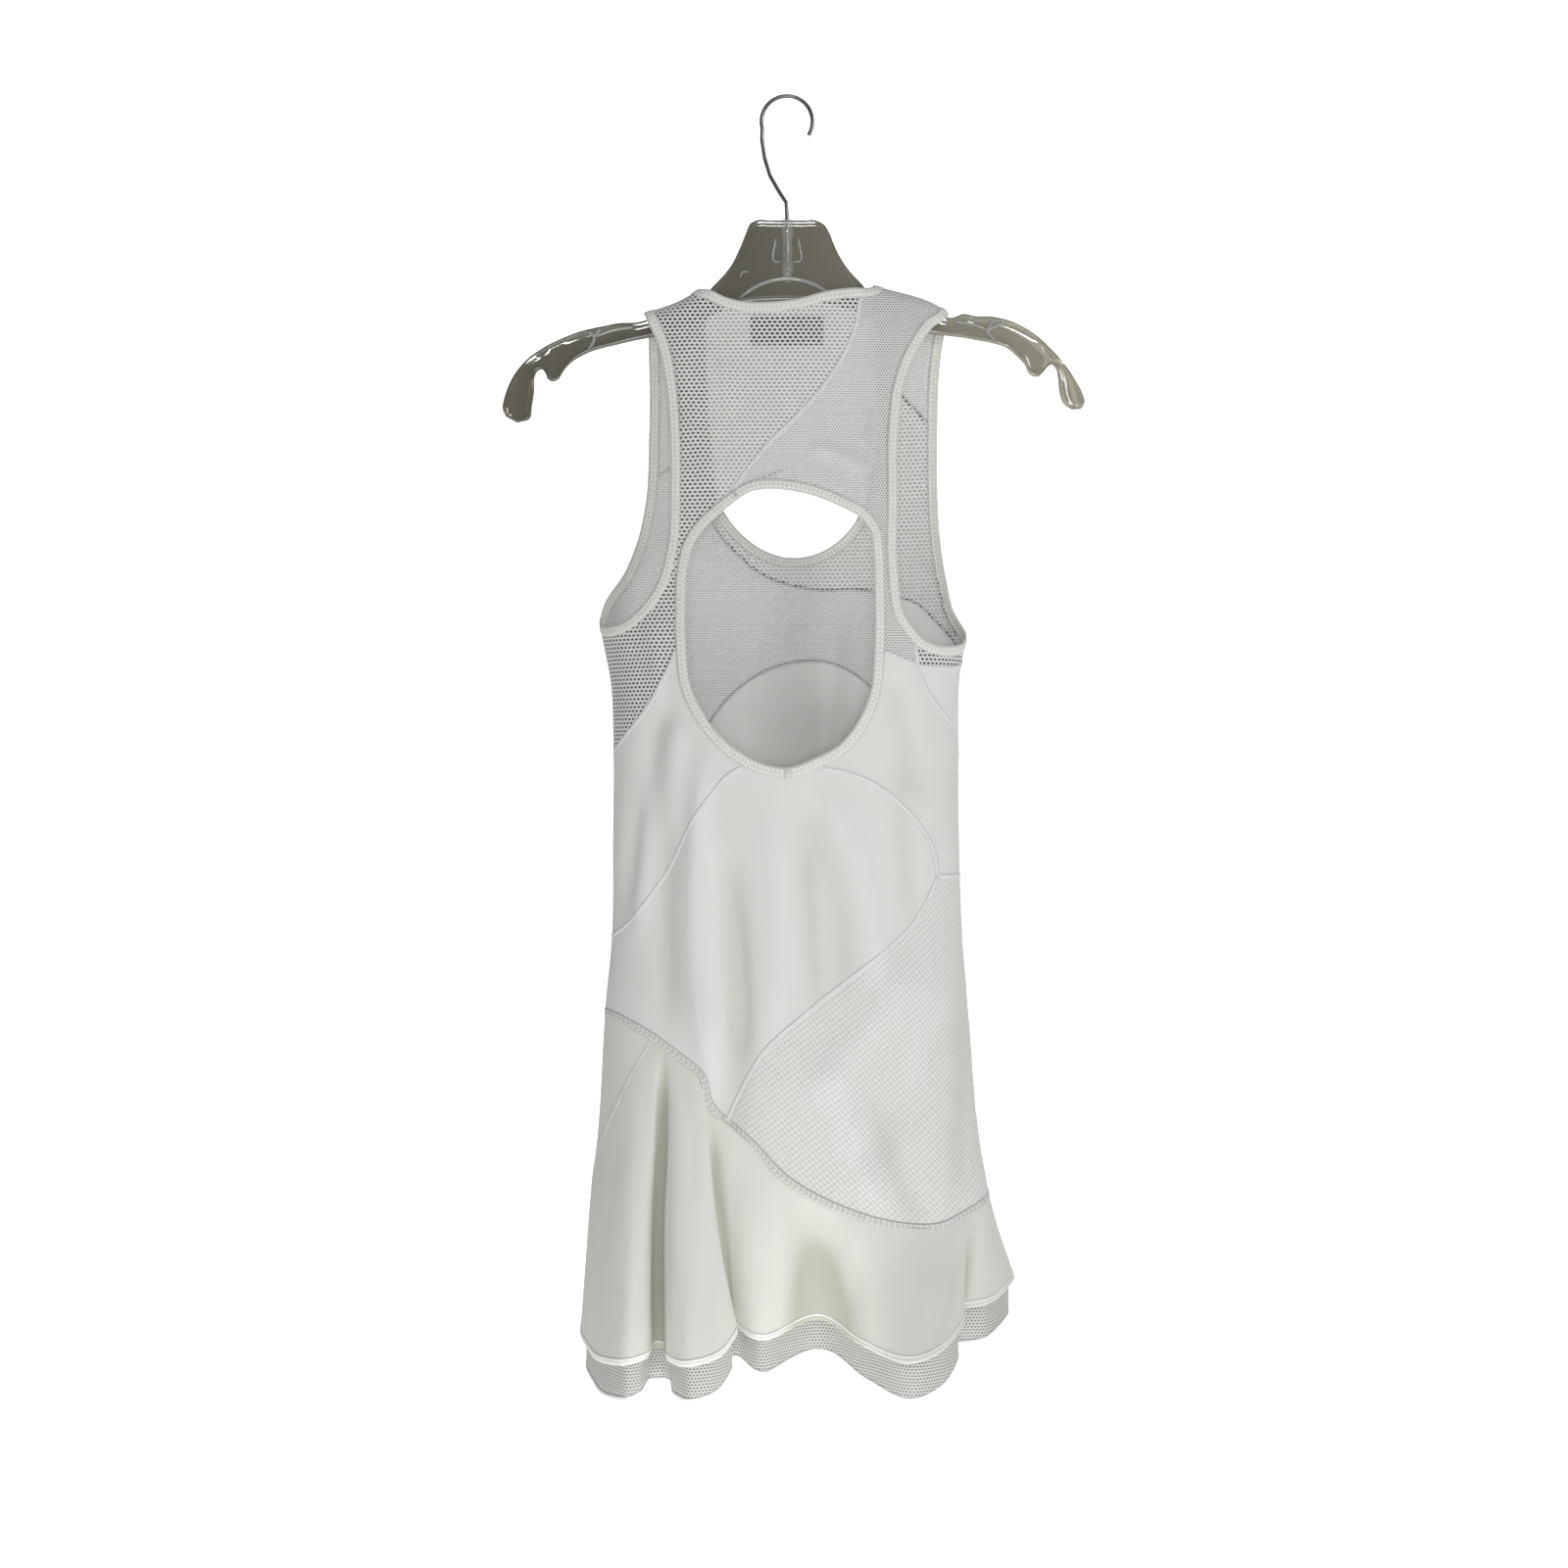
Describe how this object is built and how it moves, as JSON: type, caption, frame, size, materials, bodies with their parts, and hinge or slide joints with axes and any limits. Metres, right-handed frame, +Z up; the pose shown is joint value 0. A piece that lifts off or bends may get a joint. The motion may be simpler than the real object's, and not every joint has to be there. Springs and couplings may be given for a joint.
{
  "type": "tennis dress on hanger",
  "caption": "Sleeveless white tennis dress with a keyhole back, mesh panels and a waved hem flounce, on a clear plastic hanger.",
  "frame": {"origin": "inside top of the hanger's hook, where it hangs on a rail", "axes": "+Z up along the hanging dress, +X to the right when the back of the dress is seen, -Y towards the back of the dress"},
  "size_m": [0.432, 0.2103, 0.9468],
  "materials": {
    "mesh_coarse_white": "open coarse mesh knit",
    "mesh_fine_white": "fine mesh knit",
    "jersey_white": "smooth knit",
    "waffle_white": "waffle knit",
    "flounce_white": "smooth knit",
    "mesh_hem_white": "fine mesh knit",
    "binding_white": "folded knit tape with coverstitch",
    "label_dark": "bare woven label",
    "hanger_clear": "clear smoky plastic",
    "hook_steel": "bent wire"
  },
  "bodies": {
    "root": {"back_yoke_coarse": "mesh_coarse_white", "back_yoke_fine": "mesh_fine_white", "back_side_left": "jersey_white", "back_centre": "jersey_white", "back_side_right": "jersey_white", "back_skirt_waffle": "waffle_white", "front_shoulder_right": "mesh_fine_white", "front_yoke_coarse": "mesh_coarse_white", "front_chest_fine": "mesh_fine_white", "front_body": "jersey_white", "binding_neck_back": "binding_white", "binding_neck_front": "binding_white", "binding_arm_left": "binding_white", "binding_arm_right": "binding_white", "binding_keyhole": "binding_white", "flounce_back": "flounce_white", "flounce_front": "flounce_white", "underflounce_back": "mesh_hem_white", "underflounce_front": "mesh_hem_white", "neck_label": "label_dark", "hanger_body": "hanger_clear", "hanger_hook": "hook_steel"}
  },
  "joints": []
}
